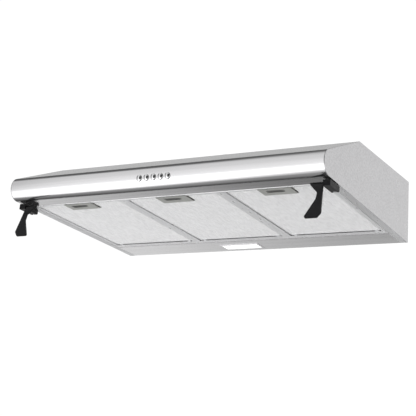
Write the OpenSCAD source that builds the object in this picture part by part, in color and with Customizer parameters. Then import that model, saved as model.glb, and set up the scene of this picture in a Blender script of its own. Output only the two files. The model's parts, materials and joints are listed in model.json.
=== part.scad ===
// Under cabinet range hood: pressed canopy, hinged filter tray, three mesh filters,
// push-button switch, lamp, centrifugal blower and round duct collar with a damper.
// X runs right as seen from the front, Y runs back to the wall and Z runs up.
// The origin is the centre of the four cabinet screw holes, on the top face.

/* [Hood] */
// Width over the side panels
hood_w = 750; // [720:1:800]
// Depth from the front of the nose to the wall
hood_d = 500; // [490:1:520]
// Height at the wall
hood_h = 143; // [140:1:160]
// Thickness of the pressed steel sheet
sheet_t = 1; // [0.8:0.1:1.2]
// Depth of the flat top in front of the wall
top_d = 320; // [300:1:330]
// How far the front bottom edge lies above the back one
front_lift = 27.6; // [20:0.1:32]
// Radius of the rounded nose
nose_r = 26.5; // [24:0.1:28]

/* [Filters] */
// Width of one filter
filter_w = 215.4; // [200:0.1:216]
// Distance between the centres of two filters
filter_pitch = 239.1; // [238:0.1:240]
// Height of the filter frame
filter_h = 8.5; // [7:0.1:9]
// Width of the latch plate
plate_w = 72; // [60:1:76]
// Depth of the latch plate
plate_d = 38; // [34:1:40]

/* [Corner latches] */
// Width of the turning bar
bar_w = 15.5; // [12:0.5:15.5]
// Length of the turning bar
bar_l = 51; // [40:1:54]
// Height of the turning bar
bar_h = 12; // [10:0.5:14]
// Forward lean of the lever in degrees
lever_lean = 16; // [0:1:22]

/* [Controls and lamp] */
// Distance between the centres of two buttons
button_pitch = 17; // [15:0.5:20]
// Radius of a button
button_r = 6.4; // [5:0.1:7]
// Width of the lamp frame
lamp_w = 103; // [90:1:110]
// Depth of the lamp frame
lamp_d = 41; // [36:1:44]

/* [Blower and duct] */
// Outer radius of the duct collar
collar_r = 74.5; // [73:0.5:76]
// Height of the duct collar above the top
collar_h = 40; // [30:1:45]
// Outer radius of the impeller
impeller_r = 60; // [54:1:62]
// Number of blades on the impeller
blade_count = 24; // [12:1:32]

/* [Hidden] */
$fn = 96;

steel = [0.76, 0.76, 0.77];
alu = [0.82, 0.82, 0.84];
black = [0.08, 0.08, 0.09];

// Distance from the nose to the origin, which is the centre of the cabinet screws
origin_y = 340;
screw_dx = 520;
screw_dy = 240;
cabinet_hole_r = 3;
wall_hole_r = 3;
wall_hole_dx = 500;
wall_hole_z = 110;

// The bottom slopes up to the front by this angle
tilt = atan(front_lift / hood_d);

// Side outline: the nose circle touches the sloping front and the bottom
nose_z = front_lift - nose_r * tan(tilt) + nose_r / cos(tilt);
top_front = [hood_d - top_d, hood_h];
reach = norm(top_front - [nose_r, nose_z]);
nose_steps = 36;
slope = atan2(hood_h - nose_z, top_front[0] - nose_r) + acos(nose_r / reach) - 90;

// The wrapped sheet stops short of each side panel and shows a seam there
seam = 0.8;
inner_w = hood_w - 2 * sheet_t;
flange_w = 12;

// Places along the sloping bottom, measured back from the nose
flange_s = 64;
lip_h = 12;
tray_s0 = 65.6;
window_s0 = 71;
window_s1 = 400.5;
tray_s1 = 418;
panel_s0 = 420;
panel_s1 = 499.5;
tray_x = 356.5;
tray_h = 12;
rail_x = 357.5;
hinge_s = 414;
hinge_n = 3.2;
hinge_r = 1.5;
pin_head_r = 2.1;
run = 0.05;

// Filters in the tray's windows
gap_left = 3;
gap_right = 0.8;
filter_s0 = 72;
filter_s1 = 396.5;
filter_n = 1;
rim = 7;
foil = 0.8;
mesh_t = 0.3;
mesh_layers = 3;
sides = ["left", "middle", "right"];
tab_x = 98;
tab_w = 8;

// Latch cup and latch plate of a filter
cup_w = 76;
cup_s1 = 111;
plate_s0 = 67;
plate_n = -1.7;
plate_t = 1.3;
hole_w = 38;
hole_d = 14;
hole_x = -3;
tongue_x = 30;
tongue_w = 8;
tongue_n = 3;

// Corner latches
bar_x = 358;
bar_s0 = 36;
bar_gap = 2.1;
bar_n0 = -bar_gap - bar_h;
bar_corner = 4;
boss_r = 6;
boss_top = -0.5;
lever_top = -3.5;
pivot_x = bar_x + bar_w / 2;
pivot_s = 80;
pivot_r = 2.5;
lever_s = 40;
lever_t = 5;
lever_l = 81;
lever_flare = 5.5;

// Buttons
button_x = -3;
button_z = 48;
button_out = 3.2;
button_names = ["button_light", "button_stop", "button_speed_1", "button_speed_2", "button_speed_3"];

// Lamp
lamp_x = -30;
lamp_s = 464.8;

// Blower and duct
blower = [-170, 335];
duct = [0, 370];
blower_z0 = 48;
scroll_r = 70;
scroll_growth = 45;
scroll_wall = 2;
inlet_r = 52;
shaft_r = 3;
motor_r = 36;
rod_z = 151;
rod_r = 1.5;
flap_r = 70;
gland = [150, 450];
gland_r = 8;
terminal_wall = 2;

// Rear face of the blower's outlet
outlet_r = scroll_r + scroll_growth * 330 / 360;
blower_back = blower[1] + outlet_r;

// Routes of the internal cables, from the terminal box to the switch, the lamp and the motor
cable_r = 1.6;
cable_z = hood_h - sheet_t - cable_r - 0.2;
switch_route = [
    [105, 450, 122], [97, 450, 122], [97, 450, cable_z], [97, 182, cable_z],
    [97, 75, 97], [30, 50, 80], [30, 34, 66], [30, 34, 56]
];
lamp_route = [
    [105, 452, 119], [100, 452, 119], [100, 470, 119], [100, 470, 44], [-55, 470, 44], [-55, 470, 36.3]
];
motor_route = [
    [105, 448, 119], [101, 448, 119], [92, 458, 132], [60, 458, 134], [-152, 458, 134],
    [-160, blower_back + 8, 134], [-160, blower_back - 8, 134], [-161, 370.6, 134]
];

// Centre of a filter, and the edges of the tray's window around it
function filter_x(side) = (side == "left" ? -1 : side == "right" ? 1 : 0) * filter_pitch;
function window_x0(side) = filter_x(side) - filter_w / 2 - gap_left;
function window_x1(side) = filter_x(side) + filter_w / 2 + gap_right;

// A plain box from its low corner to its high corner
module block(low, high) {
    translate(low)
        cube(high - low);
}

// From the nose's own frame (front, bottom of the wall) to the part's frame
module in_hood() {
    translate([0, -origin_y, -hood_h])
        children();
}

// A frame whose X-Y plane is the sloping bottom
module on_bottom() {
    in_hood()
        translate([0, 0, front_lift])
            rotate([-tilt, 0, 0])
                children();
}

// Sweeps a Y-Z outline along X, from one x to another
module along_x(x0, x1) {
    translate([x0, 0, 0])
        rotate([90, 0, 90])
            linear_extrude(x1 - x0)
                children();
}

// Parts are drawn for the right side and mirrored for the left one
module mirrored(side) {
    mirror([side == "left" ? 1 : 0, 0, 0])
        children();
}

// The side outline, moved inwards by d, and reaching back to y
module outline(d, y) {
    up = 90 + slope;
    down = 270 - tilt;
    polygon(concat(
        [
            [top_front[0] + d * tan(slope / 2), hood_h - d],
            [y, hood_h - d],
            [y, front_lift - y * tan(tilt) + d / cos(tilt)]
        ],
        [for (i = [nose_steps:-1:0])
            let (a = up + (down - up) * i / nose_steps)
                [nose_r, nose_z] + (nose_r - d) * [cos(a), sin(a)]]
    ));
}

module canopy_sheet() {
    half = inner_w / 2 - seam;
    color(steel)
        difference() {
            union() {
                in_hood()
                    along_x(-half, half)
                        difference() {
                            outline(0, hood_d);
                            outline(sheet_t, hood_d + 10);
                        }
                // Stiffening lip behind the front flange
                on_bottom()
                    block([-half, flange_s - sheet_t, sheet_t / 2], [half, flange_s, lip_h]);
            }
            // The bottom is open behind the front flange
            on_bottom()
                block([-hood_w, flange_s, -5], [hood_w, hood_d + 20, 5]);
            in_hood() {
                for (i = [0:4])
                    translate([button_x + (i - 2) * button_pitch, 12, button_z])
                        rotate([90, 0, 0])
                            cylinder(h = 20, r = button_r + 0.3);
                translate([duct[0], duct[1], hood_h - 5])
                    cylinder(h = 10, r = collar_r - 2);
                translate([gland[0], gland[1], hood_h - 5])
                    cylinder(h = 10, r = gland_r + run);
                collar_screw_places()
                    translate([0, 0, hood_h - 5])
                        cylinder(h = 10, r = 2);
                blower_screw_places()
                    translate([0, 0, hood_h - 5])
                        cylinder(h = 10, r = 2);
            }
            for (x = [-1, 1], y = [-1, 1])
                translate([x * screw_dx / 2, y * screw_dy / 2, -5])
                    cylinder(h = 10, r = cabinet_hole_r);
        }
}

// Plate and the flange that is folded in under the wrapped sheet
module side_panel(side) {
    inner = inner_w / 2;
    color(steel)
        mirrored(side)
            in_hood() {
                along_x(inner, hood_w / 2)
                    outline(0, hood_d);
                along_x(inner - flange_w, inner)
                    difference() {
                        outline(sheet_t, hood_d - sheet_t);
                        outline(2 * sheet_t, hood_d + 10);
                        translate([flange_s - 1.5, -hood_h])
                            square([hood_d, hood_h + 60]);
                    }
            }
}

module back_panel() {
    color(steel)
        in_hood()
            difference() {
                block([-inner_w / 2, hood_d - sheet_t, 0.1], [inner_w / 2, hood_d, hood_h - sheet_t]);
                for (x = [-1, 1])
                    translate([x * wall_hole_dx / 2, hood_d + 5, wall_hole_z])
                        rotate([90, 0, 0])
                            cylinder(h = 10, r = wall_hole_r);
            }
}

// Fixed panel behind the tray, with the lamp's cut-out
module rear_panel() {
    color(steel)
        on_bottom()
            difference() {
                union() {
                    block([-rail_x, panel_s0, 0], [rail_x, panel_s1, sheet_t]);
                    block([-rail_x, panel_s0, 0], [rail_x, panel_s0 + sheet_t, 14]);
                }
                block([lamp_x - lamp_w / 2 + 2, lamp_s - lamp_d / 2 + 2, -1],
                    [lamp_x + lamp_w / 2 - 2, lamp_s + lamp_d / 2 - 2, 5]);
            }
}

// Strip between the tray and the side panel, with an upstand that holds a hinge pin
module side_rail(side) {
    color(steel)
        mirrored(side)
            on_bottom()
                difference() {
                    union() {
                        block([rail_x, flange_s + 0.5, 0], [inner_w / 2, panel_s1, sheet_t]);
                        block([rail_x, flange_s + 0.5, 0], [rail_x + sheet_t, panel_s1 - 1, 14]);
                    }
                    translate([pivot_x, pivot_s, -1])
                        cylinder(h = 4, r = pivot_r);
                    hinge_hole(hinge_r);
                }
}

module hinge_hole(r) {
    translate([tray_x - 20, hinge_s, hinge_n])
        rotate([0, 90, 0])
            cylinder(h = 40, r = r);
}

// Bars of the tray: a bottom strip and turned-up walls
module tray_front_bar() {
    color(alu)
        on_bottom() {
            block([-tray_x, tray_s0, 0], [tray_x, window_s0, sheet_t]);
            block([-tray_x, tray_s0, 0], [tray_x, tray_s0 + sheet_t, tray_h]);
        }
}

module tray_rear_bar() {
    color(alu)
        on_bottom()
            difference() {
                union() {
                    block([-tray_x, window_s1, 0], [tray_x, tray_s1, sheet_t]);
                    block([-tray_x, tray_s1 - sheet_t, 0], [tray_x, tray_s1, tray_h]);
                    for (x = [-tray_x, tray_x - sheet_t])
                        block([x, window_s1, 0], [x + sheet_t, tray_s1, tray_h]);
                }
                hinge_hole(hinge_r + run);
                mirror([1, 0, 0])
                    hinge_hole(hinge_r + run);
            }
}

module tray_bar(x0, x1) {
    color(alu)
        on_bottom() {
            block([x0, window_s0, 0], [x1, window_s1, sheet_t]);
            for (x = [x0, x1 - sheet_t])
                block([x, window_s0, 0], [x + sheet_t, window_s1, tray_h]);
        }
}

module tray_hinge_pins() {
    color("silver")
        on_bottom()
            for (side = ["left", "right"])
                mirrored(side)
                    translate([0, hinge_s, hinge_n])
                        rotate([0, 90, 0]) {
                            translate([0, 0, tray_x - 3])
                                cylinder(h = rail_x + sheet_t - tray_x + 3, r = hinge_r);
                            translate([0, 0, rail_x + sheet_t])
                                cylinder(h = 1.5, r = pin_head_r);
                        }
}

module at_filter(side) {
    on_bottom()
        translate([filter_x(side), 0, 0])
            children();
}

// Channel frame with two tabs at the back and two slots for the latch tongues
module filter_frame(side) {
    half = filter_w / 2;
    top = filter_n + filter_h;
    color(alu)
        at_filter(side)
            difference() {
                union() {
                    block([-half, filter_s0, filter_n], [half, filter_s1, top]);
                    for (x = [-tab_x, tab_x])
                        block([x - tab_w / 2, filter_s1 - 0.5, 1.3], [x + tab_w / 2, 406, 2.3]);
                }
                block([rim - half, filter_s0 + rim, filter_n - 1], [half - rim, filter_s1 - rim, top + 1]);
                block([foil - half, filter_s0 + foil, filter_n + foil],
                    [half - foil, filter_s1 - foil, top - foil]);
                tongue_slots();
            }
}

module tongue_slots() {
    for (x = [-tongue_x, tongue_x])
        block([x - tongue_w / 2 - 1, filter_s0 - 1, tongue_n - 0.6],
            [x + tongue_w / 2 + 1, filter_s0 + 3, tongue_n + 1.6]);
}

// Mat of three flat layers of expanded metal, with room for the latch cup
module filter_mesh(side) {
    half = filter_w / 2 - foil;
    s0 = filter_s0 + foil;
    s1 = filter_s1 - foil;
    n0 = filter_n + foil;
    step = (filter_h - 2 * foil - mesh_t) / (mesh_layers - 1);
    color([0.86, 0.86, 0.87])
        at_filter(side)
            for (i = [0:mesh_layers - 1])
                difference() {
                    block([-half, s0, n0 + i * step], [half, s1, n0 + i * step + mesh_t]);
                    block([-cup_w / 2, s0 - 1, n0 - 1], [cup_w / 2, cup_s1, n0 + filter_h]);
                }
}

// Pan above the latch plate that gives the finger room
module filter_latch_cup(side) {
    half = cup_w / 2;
    s0 = filter_s0 + foil;
    n0 = filter_n + foil;
    n1 = filter_n + filter_h - foil;
    color(alu)
        at_filter(side)
            difference() {
                block([-half, s0, n0], [half, cup_s1, n1]);
                block([foil - half, s0 + foil, n0 - 1], [half - foil, cup_s1 - foil, n1 - foil]);
                tongue_slots();
            }
}

// Sliding plate with a finger slot and two tongues
module filter_latch_plate(side) {
    top = plate_n + plate_t;
    slot_s = plate_s0 + 9;
    color([0.62, 0.63, 0.61])
        at_filter(side) {
            difference() {
                block([-plate_w / 2, plate_s0, plate_n], [plate_w / 2, plate_s0 + plate_d, top]);
                block([hole_x - hole_w / 2, slot_s, plate_n - 1],
                    [hole_x + hole_w / 2 - 4, slot_s + hole_d, top + 1]);
                translate([hole_x + hole_w / 2 - 4, slot_s + hole_d / 2, plate_n - 1])
                    cylinder(h = 4, r = hole_d / 2 - 1);
            }
            for (x = [-tongue_x, tongue_x]) {
                block([x - tongue_w / 2, 84, top], [x + tongue_w / 2, 86, tongue_n + 1]);
                block([x - tongue_w / 2, window_s0 + 0.4, tongue_n], [x + tongue_w / 2, 86, tongue_n + 1]);
            }
        }
}

// Leaf spring riveted to the plate; its free end pushes back on the cup's rear wall
module filter_latch_spring(side) {
    n0 = plate_n + plate_t;
    color("dimgray")
        at_filter(side)
            along_x(-8, 8)
                polygon([
                    [92, n0], [99, n0], [104, 4], [103.5, 4.3], [98.6, n0 + 0.5], [92, n0 + 0.5]
                ]);
}

// Turning bar beside the tray's corner: its back corners are cut, it hangs low enough to turn
// in under the filter, and a boss on its top runs against the rail
module latch_bar(side) {
    s1 = bar_s0 + bar_l;
    color(black)
        mirrored(side)
            on_bottom()
                difference() {
                    union() {
                        translate([bar_x, 0, bar_n0])
                            linear_extrude(bar_h)
                                polygon([
                                    [0, bar_s0], [bar_w, bar_s0], [bar_w, s1 - bar_corner],
                                    [bar_w - bar_corner, s1], [bar_corner, s1], [0, s1 - bar_corner]
                                ]);
                        translate([pivot_x, pivot_s, -bar_gap - 1])
                            cylinder(h = boss_top + bar_gap + 1, r = boss_r);
                    }
                    translate([pivot_x, pivot_s, bar_n0 - 1])
                        cylinder(h = bar_h + bar_gap + 2, r = pivot_r + run);
                    translate([pivot_x, pivot_s, bar_n0 - 1])
                        cylinder(h = 4.5, r = 5);
                    // Bevelled lower edge at the back
                    translate([bar_x - 1, s1, bar_n0])
                        rotate([45, 0, 0])
                            translate([0, -4, -4])
                                cube([bar_w + 2, 8, 8]);
                }
}

// Finger lever: an arm, a slit under it, a waist and a wide foot
module latch_lever(side) {
    color(black)
        mirrored(side)
            on_bottom()
                translate([0, lever_s, lever_top])
                    rotate([-lever_lean, 0, 0])
                        translate([0, lever_t, 0])
                            rotate([90, 0, 0])
                                linear_extrude(lever_t)
                                    difference() {
                                        lever_outline();
                                        translate([bar_x - 22, -5.2])
                                            square([30, 2]);
                                    }
}

// The lever's outline: x across, y up, from the arm's top edge down
module lever_outline() {
    foot_r = 3;
    foot = [bar_x - 24.5, foot_r - lever_l];
    polygon(concat(
        [[bar_x - 28, -1.5], [bar_x, -1.5], [bar_x, -15], [bar_x + lever_flare, 10 - lever_l],
            [bar_x + lever_flare - 7, -lever_l]],
        [for (a = [270:-24.4:148]) foot + foot_r * [cos(a), sin(a)]],
        [[bar_x - 10.5, -40], [bar_x - 10, -25], [bar_x - 28, -5]]
    ));
}

module latch_pivot_screws() {
    color("gray")
        for (side = ["left", "right"])
            mirrored(side)
                on_bottom()
                    translate([pivot_x, pivot_s, 0]) {
                        translate([0, 0, bar_n0 + 1])
                            cylinder(h = 2.2, r = 4.5);
                        translate([0, 0, bar_n0 + 1])
                            cylinder(h = 5 - bar_n0, r = pivot_r);
                        translate([0, 0, sheet_t])
                            cylinder(h = 4, r = 4.5, $fn = 6);
                    }
}

// Domed cap on a stem that runs in the switch block
module button(place) {
    dome_r = 9;
    color("silver")
        in_hood()
            translate([button_x + (place - 2) * button_pitch, 0, button_z])
                rotate([-90, 0, 0]) {
                    intersection() {
                        translate([0, 0, -button_out])
                            cylinder(h = button_out + 6, r = button_r);
                        translate([0, 0, dome_r - button_out])
                            sphere(dome_r);
                    }
                    cylinder(h = 16, r = 3);
                }
}

// Push-button switch, on a foot that stands on the front flange
module switch_block() {
    half = 2 * button_pitch + 12;
    color([0.2, 0.2, 0.22])
        difference() {
            union() {
                in_hood()
                    block([button_x - half, 10, 38], [button_x + half, 28, 58]);
                on_bottom()
                    block([button_x - half, 27, sheet_t], [button_x + half, 40, 30]);
            }
            in_hood()
                for (i = [0:4])
                    translate([button_x + (i - 2) * button_pitch, 24, button_z])
                        rotate([90, 0, 0])
                            cylinder(h = 20, r = 3.3);
        }
}

// A frame whose origin is the lamp's centre on the bottom
module at_lamp() {
    on_bottom()
        translate([lamp_x, lamp_s, 0])
            children();
}

// An upright box centred on the lamp
module lamp_box(w, d, n0, n1) {
    block([-w / 2, -d / 2, n0], [w / 2, d / 2, n1]);
}

module lamp_frame() {
    color(steel)
        at_lamp()
            difference() {
                union() {
                    lamp_box(lamp_w, lamp_d, -1.5, 0);
                    lamp_box(lamp_w - 4.4, lamp_d - 4.4, -0.5, 4);
                }
                lamp_box(lamp_w - 9, lamp_d - 9, -2, 5);
            }
}

module lamp_lens() {
    color("white")
        at_lamp()
            lamp_box(lamp_w - 9.2, lamp_d - 9.2, -1.1, 1.4);
}

module lamp_housing() {
    color("white")
        at_lamp()
            difference() {
                lamp_box(lamp_w - 4.4, lamp_d - 4.4, 4, 34);
                lamp_box(lamp_w - 6.4, lamp_d - 6.4, 3, 33);
            }
}

module lamp_bulb() {
    color("ivory")
        at_lamp()
            translate([-26, 0, 18])
                rotate([0, 90, 0]) {
                    cylinder(h = 60, r = 10);
                    translate([0, 0, -8])
                        cylinder(h = 8, r = 6.5);
                }
}

module lamp_holder() {
    color([0.9, 0.9, 0.88])
        at_lamp()
            difference() {
                block([-lamp_w / 2 + 3.2, -12, 8], [-28, 12, 33]);
                translate([-34, 0, 18])
                    rotate([0, 90, 0])
                        cylinder(h = 10, r = 6.5);
            }
}

// Snail outline: the radius grows clockwise from the cut-off to the outlet
module scroll(d) {
    step = 6;
    translate(blower)
        polygon([
            for (turn = [0:step:336])
                let (r = scroll_r - d + scroll_growth * turn / 360)
                    [r * cos(60 - turn), r * sin(60 - turn)]
        ]);
}

// The snail, its outlet and the round chamber under the duct, with their walls moved in by d
module blower_space(d) {
    low = blower_z0 + d;
    high = hood_h - sheet_t - d;
    translate([0, 0, low])
        linear_extrude(high - low)
            scroll(d);
    block([blower[0], blower[1] + scroll_r * sin(60) + d, low],
        [duct[0], blower_back - d, high]);
    translate([duct[0], duct[1], low])
        cylinder(h = high - low, r = collar_r + 4.5 - d);
}

module blower_housing() {
    color([0.55, 0.56, 0.58])
        in_hood()
            difference() {
                union() {
                    blower_space(0);
                }
                blower_space(scroll_wall);
                translate([blower[0], blower[1], blower_z0 - 1])
                    cylinder(h = 5, r = inlet_r);
                translate([duct[0], duct[1], hood_h - 10])
                    cylinder(h = 20, r = collar_r - 2);
                blower_screw_places()
                    translate([0, 0, hood_h - 6])
                        cylinder(h = 10, r = 2);
                collar_screw_places()
                    translate([0, 0, hood_h - 6])
                        cylinder(h = 10, r = 2);
                translate([motor_route[6][0], blower_back + 8, motor_route[6][2]])
                    rotate([90, 0, 0])
                        cylinder(h = 16, r = cable_r + 0.8);
            }
}

module at_blower(z) {
    in_hood()
        translate([blower[0], blower[1], z])
            children();
}

// Double-sided cage: the web carries blades above and below it
module impeller() {
    color("silver")
        at_blower(0) {
            difference() {
                union() {
                    translate([0, 0, 84])
                        cylinder(h = 2, r = impeller_r);
                    translate([0, 0, 80])
                        cylinder(h = 12, r = 10);
                    for (z = [56, 127])
                        translate([0, 0, z])
                            difference() {
                                cylinder(h = 3, r = impeller_r);
                                translate([0, 0, -1])
                                    cylinder(h = 5, r = impeller_r - 3);
                            }
                }
                translate([0, 0, 70])
                    cylinder(h = 30, r = shaft_r);
            }
            for (i = [0:blade_count - 1])
                rotate([0, 0, i * 360 / blade_count])
                    translate([impeller_r - 2, 0, 56])
                        rotate([0, 0, 40])
                            translate([-9, -0.5, 0])
                                cube([9, 1, 74]);
        }
}

module motor_shaft() {
    color("silver")
        at_blower(78)
            cylinder(h = 42, r = shaft_r);
}

module motor() {
    color([0.3, 0.3, 0.32])
        at_blower(98)
            difference() {
                union() {
                    cylinder(h = 40, r = motor_r);
                    translate([0, 0, -4])
                        cylinder(h = 4, r = 12);
                }
                translate([0, 0, -5])
                    cylinder(h = 29, r = shaft_r + run);
            }
}

module motor_bracket() {
    color("silver")
        at_blower(138)
            cylinder(h = 2, r = 48);
}

// Places of the small screws on the top face
module collar_screw_places() {
    for (i = [0:3])
        translate(duct)
            rotate([0, 0, 45 + 90 * i])
                translate([collar_r + 8, 0, 0])
                    children();
}

module blower_screw_places() {
    for (x = [-1, 1], y = [-1, 1])
        translate([blower[0] + 42 * x, blower[1] + 42 * y, 0])
            children();
}

module top_screw(depth) {
    translate([0, 0, -depth])
        cylinder(h = depth, r = 2);
    cylinder(h = 2, r = 3.8);
}

module collar_screws() {
    color("silver")
        in_hood()
            collar_screw_places()
                translate([0, 0, hood_h + 2])
                    top_screw(6);
}

module blower_screws() {
    color("silver")
        in_hood()
            blower_screw_places()
                translate([0, 0, hood_h])
                    top_screw(3);
}

module duct_collar() {
    color([0.25, 0.25, 0.27])
        in_hood()
            difference() {
                translate([duct[0], duct[1], hood_h]) {
                    cylinder(h = 2, r = collar_r + 13);
                    cylinder(h = collar_h, r = collar_r);
                }
                translate([duct[0], duct[1], hood_h - 1])
                    cylinder(h = collar_h + 2, r = collar_r - 2);
                collar_screw_places()
                    translate([0, 0, hood_h - 1])
                        cylinder(h = 5, r = 2);
                translate([duct[0] - 100, duct[1], rod_z])
                    rotate([0, 90, 0])
                        cylinder(h = 200, r = rod_r);
            }
}

module damper_rod() {
    color("silver")
        in_hood()
            translate([duct[0] - collar_r, duct[1], rod_z])
                rotate([0, 90, 0])
                    cylinder(h = 2 * collar_r, r = rod_r);
}

// Half disc with two knuckles on the rod; the other flap's knuckles sit between them
module damper_flap(front) {
    knuckle_r = 3;
    knuckle_w = 14;
    knuckle_x = front ? 50 : 25;
    color("silver")
        in_hood()
            translate([duct[0], duct[1], rod_z])
                mirror([0, front ? 1 : 0, 0])
                    difference() {
                        union() {
                            intersection() {
                                translate([0, 0, -0.5])
                                    cylinder(h = 1, r = flap_r);
                                block([-flap_r, 3.6, -5], [flap_r, flap_r, 5]);
                            }
                            for (x = [-knuckle_x, knuckle_x]) {
                                translate([x - knuckle_w / 2, 0, 0])
                                    rotate([0, 90, 0])
                                        cylinder(h = knuckle_w, r = knuckle_r);
                                block([x - knuckle_w / 2, 0, -0.5], [x + knuckle_w / 2, 5, 0.5]);
                            }
                        }
                        translate([-flap_r, 0, 0])
                            rotate([0, 90, 0])
                                cylinder(h = 2 * flap_r, r = rod_r + run);
                    }
}

// The terminal box's block, with its walls moved in by d
module terminal_space(d) {
    block([gland[0] - 45 + d, gland[1] - 30 + d, 104 + d],
        [gland[0] + 45 - d, gland[1] + 30 - d, hood_h - sheet_t - d]);
}

module terminal_box() {
    color([0.88, 0.88, 0.86])
        in_hood()
            difference() {
                terminal_space(0);
                terminal_space(terminal_wall);
                translate([gland[0], gland[1], hood_h - 10])
                    cylinder(h = 20, r = gland_r + run);
                translate([gland[0] - 50, gland[1], 120])
                    rotate([0, 90, 0])
                        cylinder(h = 10, r = 4);
            }
}

// Cable inlet: hexagon flange, threaded body and through bore
module cable_gland() {
    color(black)
        in_hood()
            translate([gland[0], gland[1], 0])
                difference() {
                    union() {
                        translate([0, 0, hood_h - 7])
                            cylinder(h = 20, r = gland_r);
                        translate([0, 0, hood_h])
                            cylinder(h = 5, r = 12.5, $fn = 6);
                    }
                    translate([0, 0, hood_h - 8])
                        cylinder(h = 40, r = 4);
                }
}

function unit(v) = v / norm(v);

// The 8 corners of a cable at one point of its route, on the plane that halves the bend there
function cable_ring(route, i) =
    i == 0
        ? let (ahead = unit(route[1] - route[0]), side = unit(cross(ahead, [0.2, 0.3, 0.9])),
               up = cross(side, ahead))
            [for (k = [0:7]) route[0] + cable_r * (side * cos(45 * k) + up * sin(45 * k))]
        : let (ahead = unit(route[i] - route[i - 1]),
               after = i == len(route) - 1 ? ahead : unit(route[i + 1] - route[i]),
               across = unit(ahead + after))
            [for (p = cable_ring(route, i - 1))
                p + ahead * ((route[i] - p) * across) / (ahead * across)];

module cable(route) {
    last = len(route) - 1;
    polyhedron(
        [for (i = [0:last]) each cable_ring(route, i)],
        [
            [for (k = [0:7]) k],
            for (i = [0:last - 1], k = [0:7])
                [8 * i + k, 8 * i + 8 + k, 8 * i + 8 + (k + 1) % 8, 8 * i + (k + 1) % 8],
            [for (k = [7:-1:0]) 8 * last + k]
        ]
    );
}

// Sheathed cables inside the hood
module internal_cables() {
    color([0.25, 0.25, 0.27])
        in_hood() {
            cable(switch_route);
            cable(lamp_route);
            cable(motor_route);
        }
}

canopy_sheet();
side_panel("left");  // side_panel_left
side_panel("right");  // side_panel_right
back_panel();
rear_panel();
side_rail("left");  // side_rail_left
side_rail("right");  // side_rail_right
tray_front_bar();
tray_rear_bar();
tray_bar(-tray_x, window_x0("left"));  // tray_side_left
tray_bar(window_x1("right"), tray_x);  // tray_side_right
tray_bar(window_x1("left"), window_x0("middle"));  // tray_divider_left
tray_bar(window_x1("middle"), window_x0("right"));  // tray_divider_right
tray_hinge_pins();
for (side = sides) {
    filter_frame(side);
    filter_mesh(side);
    filter_latch_cup(side);
    filter_latch_plate(side);
    filter_latch_spring(side);
}
for (side = ["left", "right"]) {
    latch_bar(side);
    latch_lever(side);
}
latch_pivot_screws();
for (i = [0:4])
    button(i);
switch_block();
lamp_frame();
lamp_lens();
lamp_housing();
lamp_bulb();
lamp_holder();
blower_housing();
impeller();
motor_shaft();
motor();
motor_bracket();
duct_collar();
damper_rod();
damper_flap(true);  // damper_flap_front
damper_flap(false);  // damper_flap_back
terminal_box();
cable_gland();
internal_cables();
collar_screws();
blower_screws();
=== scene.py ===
"""Looks of the under cabinet range hood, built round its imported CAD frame.

Every piece is in metres in the row frame. Pieces on the sloping underside are built in the
bottom's own frame (x, s, n): x to the right, s back along the underside, n up from it.
"""
import json
import math

import bmesh
import bpy
import numpy as np
from mathutils import Matrix, Vector


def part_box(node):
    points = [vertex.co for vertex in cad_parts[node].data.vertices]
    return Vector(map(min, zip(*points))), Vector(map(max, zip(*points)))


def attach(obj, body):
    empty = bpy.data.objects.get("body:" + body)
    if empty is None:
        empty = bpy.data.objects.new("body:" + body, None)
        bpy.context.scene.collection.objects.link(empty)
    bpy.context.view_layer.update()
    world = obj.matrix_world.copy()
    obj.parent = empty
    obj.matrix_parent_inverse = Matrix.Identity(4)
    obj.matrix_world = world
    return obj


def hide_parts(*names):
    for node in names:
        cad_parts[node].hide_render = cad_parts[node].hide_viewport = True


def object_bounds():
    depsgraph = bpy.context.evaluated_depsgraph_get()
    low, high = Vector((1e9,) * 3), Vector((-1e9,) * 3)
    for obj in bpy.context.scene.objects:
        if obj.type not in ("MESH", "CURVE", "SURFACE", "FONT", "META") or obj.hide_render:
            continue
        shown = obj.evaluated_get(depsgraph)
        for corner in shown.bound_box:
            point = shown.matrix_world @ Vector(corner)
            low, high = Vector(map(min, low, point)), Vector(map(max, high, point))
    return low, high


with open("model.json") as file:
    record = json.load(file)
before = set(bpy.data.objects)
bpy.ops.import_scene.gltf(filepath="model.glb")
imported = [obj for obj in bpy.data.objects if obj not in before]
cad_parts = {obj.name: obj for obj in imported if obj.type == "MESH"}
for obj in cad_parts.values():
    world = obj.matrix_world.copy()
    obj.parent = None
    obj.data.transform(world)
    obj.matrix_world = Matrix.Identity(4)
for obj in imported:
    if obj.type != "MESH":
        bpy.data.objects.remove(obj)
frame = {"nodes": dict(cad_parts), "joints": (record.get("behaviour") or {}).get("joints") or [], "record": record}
CAD_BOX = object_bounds()

MM = 0.001
SHEET_T = 1 * MM
SHARP = math.radians(32)

RECORD = frame["record"]
JOINTS = {j["name"]: j for j in frame["joints"]}
MOUNTS = {m["name"]: m for m in RECORD["mounts"]}
BODY_OF = {n: b for b, ns in RECORD["behaviour"]["bodies"].items() for n in ns}
SIDES = ("left", "middle", "right")
BUTTONS = ("button_light", "button_stop", "button_speed_1", "button_speed_2", "button_speed_3")


# ---------------------------------------------------------------- places taken from the frame

def points_of(node):
    """A node's vertices as rows of x, y, z."""
    return np.array([v.co for v in frame["nodes"][node].data.vertices], float)


def bottom_frame():
    """The matrix from (x, s, n) on the sloping underside to the row frame."""
    along_x = Vector((1, 0, 0))
    along_s = Vector(JOINTS["filter_latch_slide_left"]["axis"]).normalized()
    along_n = along_x.cross(along_s)
    front_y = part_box("canopy_sheet")[0].y
    low_n = (points_of("rear_panel") @ np.array(along_n)).min()
    origin = Vector((0, front_y, (low_n - front_y * along_n.y) / along_n.z))
    turn = Matrix((along_x, along_s, along_n)).transposed()
    return Matrix.Translation(origin) @ turn.to_4x4()


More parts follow.
